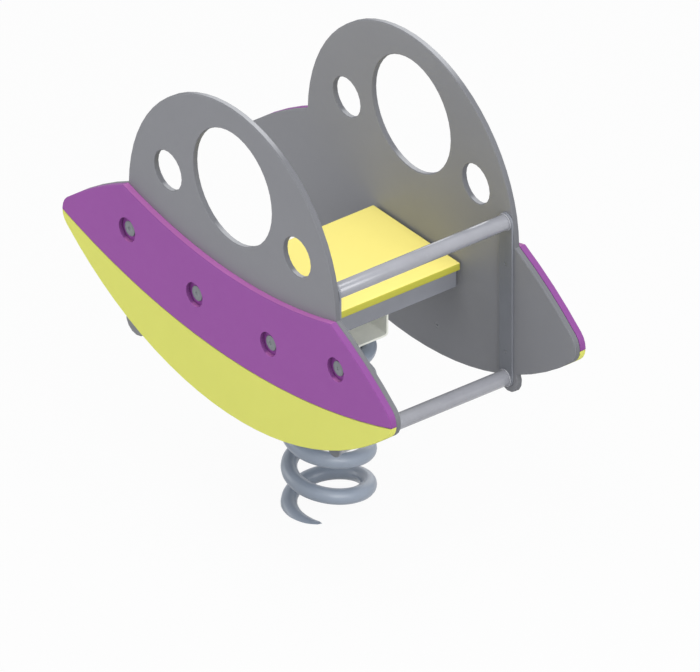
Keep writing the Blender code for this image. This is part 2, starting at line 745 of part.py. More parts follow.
def make_tray(rider):
    """Folded pan, open below, with flanges all round."""
    length = TRAY_LENGTH
    width = INNER_WIDTH - 2 * GAP
    work = bmesh.new()
    bmesh.ops.create_cube(work, size=1)
    bmesh.ops.scale(work, vec=(length, width, TRAY_FLANGE), verts=work.verts[:])
    lid_height = TRAY_FLANGE / 2
    open_side = [face for face in work.faces if face.normal.z < -0.5]
    bmesh.ops.delete(work, geom=open_side, context="FACES_ONLY")
    folds = [edge for edge in work.edges if not edge.is_boundary]
    bmesh.ops.bevel(work, geom=folds, offset=TRAY_BEND_R, segments=2, profile=0.5,
                    affect="EDGES")
    bmesh.ops.translate(work, verts=work.verts[:], vec=(0, 0, -lid_height))
    mesh = finish_mesh(work, "seat_tray")
    tray = add_object("seat_tray", mesh, "bracket_steel", (0, 0, TRAY_Z + TRAY_SHEET), (0, 0, 0),
                      rider)
    sheet = tray.modifiers.new("sheet", "SOLIDIFY")
    sheet.thickness = TRAY_SHEET
    sheet.offset = -1
    top_holes = []
    for x, y in seat_bolt_places():
        top_holes.append(((x, y), plain_hole(BOLT_R + GAP, -0.01, 0.01)))
    cut(tray, turned_cutter("tray_seat_holes", top_holes), (0, 0, TRAY_Z + TRAY_SHEET))
    # Both end flanges take the panels' inner bolts, so one pair of long cutters does both
    for x in (-INNER_BOLT_X, INNER_BOLT_X):
        hole = turned_cutter("tray_end_holes", [((0, 0), plain_hole(BOLT_R + GAP, -width, width))])
        cut(tray, hole, (x, 0, TIP_Z + INNER_BOLT_RISE), SIDES["right"][1])
    return tray


def make_seat(rider):
    width = INNER_WIDTH - 2 * SEAT_END_CLEARANCE
    work = bmesh.new()
    bmesh.ops.create_cube(work, size=1)
    bmesh.ops.scale(work, vec=(SEAT_LENGTH, width, SEAT_THICKNESS), verts=work.verts[:])
    bmesh.ops.translate(work, verts=work.verts[:], vec=(SEAT_FORWARD, 0, SEAT_THICKNESS / 2))
    bmesh.ops.bevel(work, geom=work.edges[:], offset=SEAT_ROUND, segments=2, profile=0.5,
                    affect="EDGES")
    mesh = finish_mesh(work, "seat_board")
    seat = add_object("seat_board", mesh, "seat_yellow", (0, 0, SEAT_Z), (0, 0, 0), rider)
    holes = []
    for x, y in seat_bolt_places():
        holes.append(((x, y), plain_hole(BOLT_R + GAP, -0.01, SEAT_BOLT_BITE + 0.001)))
    cut(seat, turned_cutter("seat_holes", holes), (0, 0, SEAT_Z))
    # Short bolts reach from under the saddle's lips through the tray into the board
    lip_z = TRAY_Z - GAP - SADDLE_THICKNESS
    length = SEAT_Z + SEAT_BOLT_BITE - lip_z + GAP
    bolt = hexagon_bolt("seat_bolt", BOLT_R, length, SEAT_BOLT_HEAD_R, SEAT_BOLT_HEAD_HEIGHT)
    for number, (x, y) in enumerate(seat_bolt_places(), 1):
        add_object(f"seat_bolt_{number}", bolt, "fastener_steel", (x, y, lip_z - GAP),
                   (math.pi, 0, 0), rider)
    return seat


def bolt_stations():
    """The four bolts of one side: place from the saucers' middle, whether it is inner, and name."""
    stations = []
    for end, direction, from_tip in (("rear", -1, REAR_BOLT_FROM_TIP), ("front", 1, FRONT_BOLT_FROM_TIP)):
        outer_x = direction * (SAUCER_LENGTH / 2 - from_tip)
        inner_x = direction * INNER_BOLT_X + SAUCER_BACK
        stations.append(((outer_x, OUTER_BOLT_RISE), False, f"{end}_outer"))
        stations.append(((inner_x, INNER_BOLT_RISE), True, f"{end}_inner"))
    return stations


def make_side(side, saucer, rider):
    """One side of the rider: grey panel, purple band, yellow crescent and their fasteners."""
    direction, turn = SIDES[side]
    sign = -direction
    panel_place = (-SAUCER_BACK, direction * PANEL_Y, TIP_Z)
    overlay_place = (-SAUCER_BACK, direction * OVERLAY_Y, TIP_Z)
    holes = [circle_loop((0, BIG_HOLE_RISE), BIG_HOLE_R, 40, clockwise=True)]
    for x in (-SMALL_HOLE_X, SMALL_HOLE_X):
        holes.append(circle_loop((x, SMALL_HOLE_RISE), SMALL_HOLE_R, 20, clockwise=True))
    # The right panel's front end has no lobe: its foot bar ends on the upright alone
    outline = saucer.panel(lobe_ahead=side == "left", lobe_behind=True)
    mesh = plate_mesh(f"{side}_panel", outline, holes, PANEL_THICKNESS, PANEL_CHAMFER, PANEL_CHAMFER)
    panel = add_object(f"{side}_panel", mesh, "grey_panel", panel_place, turn, rider)
    mesh = plate_mesh(f"{side}_band", saucer.band(), [], OVERLAY_THICKNESS, 0, PANEL_CHAMFER)
    band = add_object(f"{side}_band", mesh, "purple_panel", overlay_place, turn, rider)
    mesh = plate_mesh(f"{side}_crescent", saucer.crescent(), [], OVERLAY_THICKNESS, 0, PANEL_CHAMFER)
    crescent = add_object(f"{side}_crescent", mesh, "yellow_panel", overlay_place, turn, rider)

    panel_holes = []
    band_holes = []
    beyond = PANEL_THICKNESS + 0.01
    for (x, rise), inner, name in bolt_stations():
        place = (sign * x, rise)
        if inner:
            profile = plain_hole(BOLT_R + GAP, -0.01, beyond)
        else:
            profile = plain_hole(INSERT_R + GAP, PANEL_THICKNESS - INSERT_LENGTH - GAP, beyond)
        panel_holes.append((place, profile))
        recess = [(0, -0.01), (BOLT_R + GAP, -0.01), (BOLT_R + GAP, RECESS_FLOOR),
                  (BOLT_RECESS_R, RECESS_FLOOR), (BOLT_RECESS_R, 0.02), (0, 0.02)]
        band_holes.append((place, recess))
        make_panel_bolt(f"{side}_bolt_{name}", (x, rise), inner, side, rider)
    upright_places = [(sign * BAR_X, rise) for rise in UPRIGHT_SCREW_RISES]
    rear_place = (-sign * BAR_X, -FOOT_DROP)
    for place in upright_places + [rear_place]:
        panel_holes.append((place, countersunk_hole(-0.01, PANEL_THICKNESS)))
    crescent_holes = []
    for x in (-CRESCENT_SCREW_X, CRESCENT_SCREW_X):
        place = (x, -CRESCENT_SCREW_DROP)
        through = [(radius, -height) for radius, height in countersunk_hole(-beyond, 0)]
        panel_holes.append((place, through[::-1]))
        bite = OVERLAY_THICKNESS * 0.7
        crescent_holes.append((place, plain_hole(SCREW_R + GAP, -0.01, bite + 0.0005)))
        end = "rear" if x * sign < 0 else "front"
        screw = countersunk_screw(f"{side}_crescent_screw_{end}", PANEL_THICKNESS + GAP + bite)
        inward = SIDES["left" if side == "right" else "right"][1]
        add_object(screw.name, screw, "fastener_steel",
                   (sign * x - SAUCER_BACK, direction * PANEL_Y, TIP_Z - CRESCENT_SCREW_DROP),
                   inward, rider)
    cut(panel, turned_cutter(f"{side}_panel_holes", panel_holes), panel_place, turn)
    cut(band, turned_cutter(f"{side}_band_holes", band_holes, ROUND_STEPS), overlay_place, turn)
    cut(crescent, turned_cutter(f"{side}_crescent_holes", crescent_holes), overlay_place, turn)

    outer_face = direction * (PANEL_Y + PANEL_THICKNESS)
    length = PANEL_THICKNESS + GAP + UPRIGHT_THICKNESS - 0.001
    for number, rise in enumerate(UPRIGHT_SCREW_RISES, 1):
        screw = countersunk_screw(f"{side}_upright_screw_{number}", length)
        add_object(screw.name, screw, "fastener_steel",
                   (BAR_X - SAUCER_BACK, outer_face, TIP_Z + rise), turn, rider)
    screw = countersunk_screw(f"{side}_rear_bar_screw", REAR_SCREW_LENGTH)
    add_object(screw.name, screw, "fastener_steel",
               (-BAR_X - SAUCER_BACK, outer_face, TIP_Z - FOOT_DROP), turn, rider)


def make_panel_bolt(name, place, inner, side, rider):
    """Flat-headed bolt in the band's recess, with a nut in the tray or an insert in the panel."""
    direction, turn = SIDES[side]
    x = place[0] - SAUCER_BACK
    z = TIP_Z + place[1]
    seat_y = OVERLAY_Y + RECESS_FLOOR + GAP
    if inner:
        nut_y = PANEL_Y - GAP - TRAY_SHEET - GAP - NUT_HEIGHT
        length = seat_y - nut_y + 0.002
        nut = nut_mesh(name.replace("bolt", "nut"), BOLT_R + GAP, NUT_R, NUT_HEIGHT)
        add_object(nut.name, nut, "fastener_steel", (x, direction * nut_y, z), turn, rider)
    else:
        insert_y = PANEL_Y + PANEL_THICKNESS - INSERT_LENGTH
        length = seat_y - insert_y - 0.0005
        profile = [(BOLT_R + GAP, 0), (INSERT_R, 0), (INSERT_R, INSERT_LENGTH),
                   (BOLT_R + GAP, INSERT_LENGTH)]
        insert = turned_mesh(name.replace("bolt", "insert"), profile, BOLT_STEPS)
        add_object(insert.name, insert, "fastener_steel", (x, direction * insert_y, z), turn, rider)
    bolt = wide_bolt(name, length)
    add_object(bolt.name, bolt, "fastener_steel", (x, direction * seat_y, z), turn, rider)


def make_upright(side, rider):
    """Flat bar on the panel's inner face that joins the handlebar to the foot bar."""
    direction, turn = SIDES[side]
    half = UPRIGHT_WIDTH / 2
    outline = arc((0, -FOOT_DROP), half, -math.pi, 0, 8) + arc((0, HANDLE_RISE), half, 0, math.pi, 8)
    place = (BAR_X - SAUCER_BACK, direction * (PANEL_Y - GAP - UPRIGHT_THICKNESS), TIP_Z)
    holes = [circle_loop((0, rise), SCREW_R + GAP, BOLT_STEPS, clockwise=True)
             for rise in UPRIGHT_SCREW_RISES]
    mesh = plate_mesh(f"{side}_upright", outline, holes, UPRIGHT_THICKNESS, 0, 0)
    return add_object(f"{side}_upright", mesh, "bracket_steel", place, turn, rider)


def make_bars(rider):
    """Tubes between the uprights at the front, and a solid bar between the panels at the rear."""
    half = PANEL_Y - 2 * GAP - UPRIGHT_THICKNESS
    bore = BAR_R - BAR_WALL
    tube = [(bore, -half), (BAR_R, -half), (BAR_R, half), (bore, half)]
    turn = SIDES["right"][1]
    for name, height in (("handlebar", TIP_Z + HANDLE_RISE), ("front_foot_bar", TIP_Z - FOOT_DROP)):
        mesh = turned_mesh(name, tube, ROUND_STEPS)
        add_object(name, mesh, "bar_steel", (BAR_X - SAUCER_BACK, 0, height), turn, rider)
    half = PANEL_Y - GAP
    depth = REAR_SCREW_LENGTH - PANEL_THICKNESS + 0.002
    hole_r = SCREW_R + GAP
    solid = [(0, depth - half), (hole_r, depth - half), (hole_r, -half), (BAR_R, -half),
             (BAR_R, half), (hole_r, half), (hole_r, half - depth), (0, half - depth)]
    mesh = turned_mesh("rear_foot_bar", solid, ROUND_STEPS)
    add_object("rear_foot_bar", mesh, "bar_steel", (-BAR_X - SAUCER_BACK, 0, TIP_Z - FOOT_DROP),
               turn, rider)


def main():
    clear_scene()
    spring_base = pivot("spring_pivot", PIVOT_Z)
    rider = pivot("rider_pivot", PIVOT_Z)
    ring = wire_ring_mesh()
    make_anchor_plate()
    make_spring(spring_base)
    make_clamps(rider, ring)
    make_saddle(rider)
    make_tray(rider)
    make_seat(rider)
    saucer = Saucer()
    for side in SIDES:
        make_side(side, saucer, rider)
        make_upright(side, rider)
    make_bars(rider)


main()
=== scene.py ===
"""Finished look of the saucer spring rider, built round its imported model.

Metres, +Z up, +X towards the handlebar, Y across. Heights are from the anchor plate's underside.
"""

import json
import math

import bpy
from mathutils import Matrix, Vector


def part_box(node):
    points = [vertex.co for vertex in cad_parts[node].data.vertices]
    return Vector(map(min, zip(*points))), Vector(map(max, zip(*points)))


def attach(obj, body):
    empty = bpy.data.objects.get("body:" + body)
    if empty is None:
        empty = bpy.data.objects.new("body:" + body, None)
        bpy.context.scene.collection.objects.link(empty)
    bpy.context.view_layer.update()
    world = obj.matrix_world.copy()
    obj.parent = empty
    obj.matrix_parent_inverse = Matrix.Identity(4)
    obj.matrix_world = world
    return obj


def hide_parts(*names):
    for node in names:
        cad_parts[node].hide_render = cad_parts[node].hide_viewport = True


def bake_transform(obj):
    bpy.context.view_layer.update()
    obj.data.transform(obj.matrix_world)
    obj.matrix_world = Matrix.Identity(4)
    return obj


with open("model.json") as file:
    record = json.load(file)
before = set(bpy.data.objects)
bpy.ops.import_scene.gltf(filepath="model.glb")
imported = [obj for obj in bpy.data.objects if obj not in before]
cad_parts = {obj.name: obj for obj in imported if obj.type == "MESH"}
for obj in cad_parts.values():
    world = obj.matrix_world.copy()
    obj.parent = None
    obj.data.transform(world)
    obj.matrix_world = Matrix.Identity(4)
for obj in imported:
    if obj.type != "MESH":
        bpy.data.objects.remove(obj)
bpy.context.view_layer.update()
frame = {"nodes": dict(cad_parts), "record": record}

# Places on the rider
GROUND_Z = 0.1087
TIP_Z = 0.5424              # the saucers' front and rear tips
SAUCER_X = -0.013           # middle of the two saucers
OUTER_FACE_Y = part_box("left_band")[1].y
SIDES = {"right": -1, "left": 1}

# Coil spring
WIRE_R = 0.014
COIL_R = 0.0665
BOTTOM_WIRE_Z = 0.0223      # middle of the lowest wire
SPRING_RISE = 0.3924        # from there to the middle of the highest wire
ACTIVE_TURNS = 5.573
END_TURN_ANGLE = math.radians(150)
BLEND_ANGLE = math.radians(27)      # over which a flat end turn eases into the slope
TOP_END_ANGLE = math.radians(-48)
END_RUN = 2 * WIRE_R        # straight wire past each end turn
WIRE_POINTS_PER_TURN = 72
SEAM_STEP = 0.001
PIVOT_Z = BOTTOM_WIRE_Z + SPRING_RISE / 2

# Two heights for each half of the spring, clear of the clamps and of the pivot
PIVOT_MARGIN = 0.016
LOWER_BEND = (0.060, PIVOT_Z - PIVOT_MARGIN)
UPPER_BEND = (PIVOT_Z + PIVOT_MARGIN, 0.385)

# Bars, and the beads of weld round the ends of two of them
BAR_R = 0.014
WELD_R = 0.0016
WELD_RING_R = BAR_R + 0.0004
RIPPLE_COUNT = 24
RIPPLE_SHARE = 0.10
SWELL_COUNT = 5
SWELL_SHARE = 0.05
SWELL_PHASE = 1

# Meshes taken over from the solids, and rounded edges
MERGE_DISTANCE = 0.00002
FLAT_WITHIN = math.radians(0.4)
SOFTENED_ABOVE = math.radians(30)
BOARD_EDGE_R = 0.0005
SEAT_EDGE_R = 0.0018
STEEL_EDGE_R = 0.0006
CLAMP_EDGE_R = 0.0008
WASHER_EDGE_R = 0.0002

# Bolts sunk in the purple bands, each on a wide purple washer
BOLT_SEAT_Y = OUTER_FACE_Y - 0.0082
WASHER_R = 0.0205
WASHER_THICKNESS = 0.0008
BOLT_HEAD_R = 0.0135
BOLT_HEAD_TOP = 0.0026      # above the washer's seat
BOLT_SHANK_R = 0.004
BOLT_SHANK_LENGTH = 0.010
BOLT_SOCKET_R = 0.004
BOLT_SOCKET_FLOOR = 0.0014
SHANK_CLEARANCE = 0.0003
CUT_MARGIN = 0.001          # by which a cutter stands out of what it cuts

# Plastic board. An edge shows where the surface turns away from the board's own axis, and gets
# painted shade; an edge that looks up gets a painted highlight
EDGE_FULL = 0.55
EDGE_NONE = 0.97
PAINTED_LIGHT_NONE = 0.86          # share of the normal that looks up
PAINTED_LIGHT_FULL = 0.99
BOARD_ROUGHNESS = 0.42
MARKS_ROUGHNESS = 0.16
EDGE_ROUGHNESS = 0.12

# Stoved coat
RUB_NONE = 0.62             # height of the noise that makes the rubbed spots
RUB_FULL = 0.74
TONE_DARK = 0.95
TONE_LIGHT = 1.05
TONE_ROUGHNESS = 0.10

# Photograph's frame and camera
FRAME_WIDTH = 700
FRAME_HEIGHT = 672
SAUCER_PIXEL_X = 226.41     # where the near saucer's middle falls
SAUCER_PIXEL_Y = 318.05
METRES_PER_PIXEL = 0.0016667
CAMERA_AZIMUTH = math.radians(51.97)
CAMERA_ELEVATION = math.radians(31.68)
CAMERA_DISTANCE = 5
CAMERA_REACH = 30

# Stage and lamps
FLOOR_SIZE = 12
FLOOR_GREY = 0.50
FLOOR_WHITE_SHARE = 0.95    # the rest of the floor's look is its shadow
AMBIENT_COLOUR = (0.92, 0.95, 1.0)
AMBIENT_STRENGTH = 0.50
LAMP_AIM = Vector((0, 0, 0.55))
LAMP_DISTANCE = 4
LAMP_SIZE = 3


# Shader nodes

def new_group(name, inputs, outputs):
    """An empty node group with named sockets, and its two end nodes."""
    tree = bpy.data.node_groups.new(name, "ShaderNodeTree")
    for label, kind, value in inputs:
        socket = tree.interface.new_socket(
            label, in_out="INPUT", socket_type="NodeSocket" + kind)
        socket.default_value = value
    for label, kind in outputs:
        tree.interface.new_socket(label, in_out="OUTPUT", socket_type="NodeSocket" + kind)
    return tree, tree.nodes.new("NodeGroupInput"), tree.nodes.new("NodeGroupOutput")


def noise(tree, where, scale, detail, roughness):
    node = tree.nodes.new("ShaderNodeTexNoise")
    node.inputs["Scale"].default_value = scale
    node.inputs["Detail"].default_value = detail
    node.inputs["Roughness"].default_value = roughness
    tree.links.new(where, node.inputs["Vector"])
    return node.outputs["Fac"]


def ramp_between(tree, value, low, high, to_low=0.0, to_high=1.0):
    """A smooth step from one value to another."""
    node = tree.nodes.new("ShaderNodeMapRange")
    node.interpolation_type = "SMOOTHSTEP"
    node.inputs["From Min"].default_value = low
    node.inputs["From Max"].default_value = high
    node.inputs["To Min"].default_value = to_low
    node.inputs["To Max"].default_value = to_high
    tree.links.new(value, node.inputs["Value"])
    return node.outputs["Result"]


def maths(tree, operation, first, second=0.0):
    """One sum, whose terms are sockets or plain numbers."""
    node = tree.nodes.new("ShaderNodeMath")
    node.operation = operation
    for socket, value in zip(node.inputs, (first, second)):
        if isinstance(value, (int, float)):
            socket.default_value = value
        else:
            tree.links.new(value, socket)
    return node.outputs[0]


def mixed(tree, share, below, above):
    """A mix of the colours of two sockets."""
    node = tree.nodes.new("ShaderNodeMix")
    node.data_type = "RGBA"
    tree.links.new(share, node.inputs["Factor"])
    tree.links.new(below, node.inputs[6])
    tree.links.new(above, node.inputs[7])
    return node.outputs[2]


def brightened(tree, colour, value):
    """A colour whose brightness is multiplied by the value of a socket."""
    node = tree.nodes.new("ShaderNodeHueSaturation")
    tree.links.new(colour, node.inputs["Color"])
    tree.links.new(value, node.inputs["Value"])
    return node.outputs["Color"]


def make_board_group():
    """Plastic board, coloured through: fine grain and faint clouds, with painted shade on its
    edges.

    Edges that face up get a painted highlight instead, where light from above falls on them.
    Lies Flat is 1 for a board whose broad faces look up and down, and 0 for one that stands.
    """
    tree, given, made = new_group(
        "plastic_board",
        [("Face", "Color", (0.5, 0.5, 0.5, 1)), ("Painted Shade Edge", "Color", (0.7, 0.7, 0.7, 1)),
         ("Painted Lit Edge", "Color", (0.8, 0.8, 0.8, 1)), ("Clouding", "Float", 0.06),
         ("Lies Flat", "Float", 0.0)],
        [("Color", "Color"), ("Roughness", "Float"), ("Height", "Float")])
    place = tree.nodes.new("ShaderNodeTexCoord")
    where = place.outputs["Object"]
    normal = tree.nodes.new("ShaderNodeSeparateXYZ")
    tree.links.new(place.outputs["Normal"], normal.inputs[0])

    flat = given.outputs["Lies Flat"]
    stands = maths(tree, "SUBTRACT", 1.0, flat)
    across = maths(tree, "MULTIPLY", maths(tree, "ABSOLUTE", normal.outputs["Y"]), stands)
    upright = maths(tree, "MULTIPLY", maths(tree, "ABSOLUTE", normal.outputs["Z"]), flat)
    facing = maths(tree, "ADD", across, upright)
    # Painted shade on the edges, turning to a painted highlight on the edges that face up
    edge = ramp_between(tree, facing, EDGE_FULL, EDGE_NONE, to_low=1.0, to_high=0.0)
    upper = ramp_between(tree, normal.outputs["Z"], PAINTED_LIGHT_NONE, PAINTED_LIGHT_FULL)
    rim = mixed(tree, upper, given.outputs["Painted Shade Edge"], given.outputs["Painted Lit Edge"])
    base = mixed(tree, edge, given.outputs["Face"], rim)

    clouds = maths(tree, "SUBTRACT", noise(tree, where, scale=7, detail=4, roughness=0.6), 0.5)
    cloud = maths(tree, "MULTIPLY", clouds, given.outputs["Clouding"])
    colour = brightened(tree, base, maths(tree, "ADD", cloud, 1.0))
    tree.links.new(colour, made.inputs["Color"])

    marks = noise(tree, where, scale=60, detail=5, roughness=0.65)
    marked = maths(tree, "MULTIPLY", marks, MARKS_ROUGHNESS)
    routed = maths(tree, "MULTIPLY", edge, EDGE_ROUGHNESS)
    rough = maths(tree, "ADD", maths(tree, "ADD", marked, BOARD_ROUGHNESS), routed)
    tree.links.new(rough, made.inputs["Roughness"])
    grain = noise(tree, where, scale=1400, detail=2, roughness=0.5)
    tree.links.new(grain, made.inputs["Height"])
    return tree


def make_coat_group():
    """Stoved coat on steel: orange peel, faint changes of tone and small rubbed spots."""
    tree, given, made = new_group(
        "stoved_coat",
        [("Coat", "Color", (0.5, 0.5, 0.5, 1)), ("Rubbed", "Color", (0.6, 0.6, 0.6, 1)),
         ("Rub", "Float", 0.3), ("Gloss Level", "Float", 0.35)],
        [("Color", "Color"), ("Roughness", "Float"), ("Height", "Float")])
    where = tree.nodes.new("ShaderNodeTexCoord").outputs["Object"]
    tone = noise(tree, where, scale=14, detail=4, roughness=0.6)
    spots = noise(tree, where, scale=75, detail=6, roughness=0.7)
    rubbed = ramp_between(tree, spots, RUB_NONE, RUB_FULL)
    worn = maths(tree, "MULTIPLY", rubbed, given.outputs["Rub"])
    base = mixed(tree, worn, given.outputs["Coat"], given.outputs["Rubbed"])
    colour = brightened(tree, base, ramp_between(tree, tone, 0.3, 0.7, TONE_DARK, TONE_LIGHT))
    tree.links.new(colour, made.inputs["Color"])

    uneven = maths(tree, "MULTIPLY", tone, TONE_ROUGHNESS)
    rough = maths(tree, "ADD", given.outputs["Gloss Level"], uneven)
    tree.links.new(rough, made.inputs["Roughness"])
    peel = noise(tree, where, scale=420, detail=2, roughness=0.45)
    tree.links.new(peel, made.inputs["Height"])
    return tree


# Finishes, each under the slot that it fills

def finish_from_group(group, name, relief, values, specular=0.5, metallic=0.0):
    """A material whose colour, roughness and fine relief come from one of the groups."""
    made = bpy.data.materials.new(name)
    made.use_nodes = True
    tree = made.node_tree
    shader = tree.nodes["Principled BSDF"]
    shader.inputs["Metallic"].default_value = metallic
    shader.inputs["Specular IOR Level"].default_value = specular
    node = tree.nodes.new("ShaderNodeGroup")
    node.node_tree = group
    for label, value in values.items():
        node.inputs[label].default_value = (*value, 1) if isinstance(value, tuple) else value
    bump = tree.nodes.new("ShaderNodeBump")
    bump.inputs["Strength"].default_value = 1.0
    bump.inputs["Distance"].default_value = relief
    tree.links.new(node.outputs["Color"], shader.inputs["Base Color"])
    tree.links.new(node.outputs["Roughness"], shader.inputs["Roughness"])
    tree.links.new(node.outputs["Height"], bump.inputs["Height"])
    tree.links.new(bump.outputs["Normal"], shader.inputs["Normal"])
    return made


def make_board_finishes():
    board = make_board_group()
    # Each board's edge colours are painted shade on its edges and a painted highlight on the
    # edges that face up
    return {
        "grey_panel": finish_from_group(
            board, "grey_board", 0.00004,
            {"Face": (0.255, 0.257, 0.274), "Painted Shade Edge": (0.140, 0.143, 0.155),
             "Painted Lit Edge": (0.360, 0.365, 0.380), "Clouding": 0.10},
            specular=0.30),
        "purple_panel": finish_from_group(
            board, "purple_board", 0.00004,
            {"Face": (0.323, 0.074, 0.364), "Painted Shade Edge": (0.205, 0.054, 0.230),
             "Painted Lit Edge": (0.420, 0.130, 0.385), "Clouding": 0.08},
            specular=0.30),
        "yellow_panel": finish_from_group(
            board, "yellow_board", 0.00004,
            {"Face": (0.795, 0.805, 0.155), "Painted Shade Edge": (0.650, 0.660, 0.130),
             "Painted Lit Edge": (0.800, 0.740, 0.230), "Clouding": 0.06},
            specular=0.30),
        "seat_yellow": finish_from_group(
            board, "seat_board_yellow", 0.00005,
            {"Face": (0.88, 0.765, 0.212), "Painted Shade Edge": (0.47, 0.45, 0.055),
             "Painted Lit Edge": (0.60, 0.56, 0.10), "Clouding": 0.06, "Lies Flat": 1.0},
            specular=0.35),
    }


def make_steel_finishes():
    coat = make_coat_group()
    return {
        "bar_steel": finish_from_group(
            coat, "bar_coat", 0.00003,
            {"Coat": (0.272, 0.276, 0.302), "Rubbed": (0.36, 0.37, 0.39),
             "Rub": 0.4, "Gloss Level": 0.14},
            specular=0.7),
        "bracket_paint": finish_from_group(
            coat, "bracket_coat", 0.00003,
            {"Coat": (0.225, 0.233, 0.262), "Rubbed": (0.27, 0.28, 0.30),
             "Rub": 0.4, "Gloss Level": 0.42}),
        "saddle_zinc": finish_from_group(
            coat, "saddle_coat", 0.00004,
            {"Coat": (0.86, 0.87, 0.79), "Rubbed": (0.74, 0.74, 0.69),
             "Rub": 0.4, "Gloss Level": 0.50},
            specular=0.4),
        # Darker than the bars: dark paint, and also painted shade for the shade that falls on
        # the uprights under the handlebar
        "upright_paint": finish_from_group(
            coat, "upright_dark_coat_painted_shade", 0.00003,
            {"Coat": (0.192, 0.201, 0.224), "Rubbed": (0.24, 0.245, 0.26),
             "Rub": 0.3, "Gloss Level": 0.45},
            specular=0.35),
        "anchor_paint": finish_from_group(
            coat, "anchor_coat", 0.00006,
            {"Coat": (0.22, 0.225, 0.24), "Rubbed": (0.20, 0.13, 0.09),
             "Rub": 0.7, "Gloss Level": 0.55}),
        "spring_paint": finish_from_group(
            coat, "spring_coat", 0.00004,
            {"Coat": (0.265, 0.305, 0.370), "Rubbed": (0.34, 0.37, 0.41),
             "Rub": 0.4, "Gloss Level": 0.30},
            specular=0.6),
        "bolt_head_paint": finish_from_group(
            coat, "bolt_head_coat", 0.00003,
            {"Coat": (0.225, 0.245, 0.26), "Rubbed": (0.34, 0.345, 0.35),
             "Rub": 0.4, "Gloss Level": 0.32}),
        "fastener_steel": finish_from_group(
            coat, "fastener_metal", 0.00002,
            {"Coat": (0.27, 0.275, 0.29), "Rubbed": (0.20, 0.20, 0.21),
             "Rub": 0.4, "Gloss Level": 0.45},
            specular=0.3, metallic=0.3),
    }


FINISHES = make_board_finishes() | make_steel_finishes()


# Steps that every piece goes through

def pick(piece):
    bpy.ops.object.select_all(action="DESELECT")
    piece.select_set(True)
    bpy.context.view_layer.objects.active = piece


def smooth(piece, degrees):
    """Round shading over edges that bend less than an angle."""
    pick(piece)
    bpy.ops.object.shade_smooth_by_angle(angle=math.radians(degrees))


def apply_modifier(piece, kind, **settings):
    pick(piece)
    modifier = piece.modifiers.new(kind.lower(), kind)
    for setting, value in settings.items():
        setattr(modifier, setting, value)
    bpy.ops.object.modifier_apply(modifier=modifier.name)


def round_edges(piece, radius, steps, above_degrees):
    """Bevel the edges that bend more than an angle."""
    apply_modifier(piece, "BEVEL", width=radius, segments=steps, limit_method="ANGLE",
                   angle_limit=math.radians(above_degrees))


def settle(piece):
    """Write a piece's place into its mesh, so that its object sits at the origin."""
    pick(piece)
    bpy.ops.object.transform_apply(location=True, rotation=True, scale=True)


def coat_with(piece, slot):
    piece.data.materials.clear()
    piece.data.materials.append(FINISHES[slot])


def deliver(piece, slot, *nodes):
    """Give a finished piece of the rider its material and the nodes that it stands for."""
    coat_with(piece, slot)
    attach(piece, "rider")
    if nodes:
        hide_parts(*nodes)


def softened_copy(node, name, slot, edge_radius=0, smooth_degrees=50):
    """A merged copy of a node with small rounded edges, in place of the node."""
    piece = bpy.data.objects.new(name, frame["nodes"][node].data.copy())
    bpy.context.scene.collection.objects.link(piece)
    pick(piece)
    bpy.ops.object.mode_set(mode="EDIT")
    bpy.ops.mesh.select_all(action="SELECT")
    bpy.ops.mesh.remove_doubles(threshold=MERGE_DISTANCE)
    bpy.ops.mesh.dissolve_limited(angle_limit=FLAT_WITHIN)
    bpy.ops.object.mode_set(mode="OBJECT")
    if edge_radius:
        apply_modifier(piece, "BEVEL", width=edge_radius, segments=2, limit_method="ANGLE",
                       angle_limit=SOFTENED_ABOVE, use_clamp_overlap=True,
                       miter_outer="MITER_SHARP")
    smooth(piece, smooth_degrees)
    # Broad flat faces keep their own direction, and only the small edges shade round
    apply_modifier(piece, "WEIGHTED_NORMAL", keep_sharp=True)
    deliver(piece, slot, node)


# Boards, uprights and brackets

def make_boards():
    for side in SIDES:
        softened_copy(f"{side}_panel", f"{side}_panel_board", "grey_panel", BOARD_EDGE_R)
        softened_copy(f"{side}_band", f"{side}_band_board", "purple_panel", BOARD_EDGE_R)
        softened_copy(f"{side}_crescent", f"{side}_crescent_board", "yellow_panel",
                      BOARD_EDGE_R)
        softened_copy(f"{side}_upright", f"{side}_upright_bar", "upright_paint", STEEL_EDGE_R)


def make_brackets():
    softened_copy("saddle_bracket", "saddle_bracket_folded", "saddle_zinc", STEEL_EDGE_R)
    softened_copy("seat_tray", "seat_tray_folded", "bracket_paint")
    for side in SIDES:
        softened_copy(f"top_clamp_{side}", f"top_clamp_{side}_cast", "bracket_paint",
                      CLAMP_EDGE_R, smooth_degrees=45)


# Seat board

def make_seat():
    low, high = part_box("seat_board")
    bpy.ops.object.select_all(action="DESELECT")
    bpy.ops.mesh.primitive_cube_add(size=1, location=(low + high) / 2, scale=high - low)
    seat = bpy.context.view_layer.objects.active
    seat.name = "seat_board_rounded"
    settle(seat)
    round_edges(seat, SEAT_EDGE_R, steps=4, above_degrees=40)
    smooth(seat, 35)
    deliver(seat, "seat_yellow", "seat_board")


# Bars and their welds

def make_bar(name, node):
    """A round bar in a node's place. Returns its middle and half its length."""
    low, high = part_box(node)
    middle = (low + high) / 2
    length = high.y - low.y
    bpy.ops.object.select_all(action="DESELECT")
    bpy.ops.mesh.primitive_cylinder_add(vertices=64, radius=BAR_R, depth=length,
                                        location=middle, rotation=(math.pi / 2, 0, 0))
    bar = bpy.context.view_layer.objects.active
    bar.name = name
    round_edges(bar, STEEL_EDGE_R, steps=2, above_degrees=40)
    settle(bar)
    smooth(bar, 40)
    deliver(bar, "bar_steel", node)
    return middle, length / 2


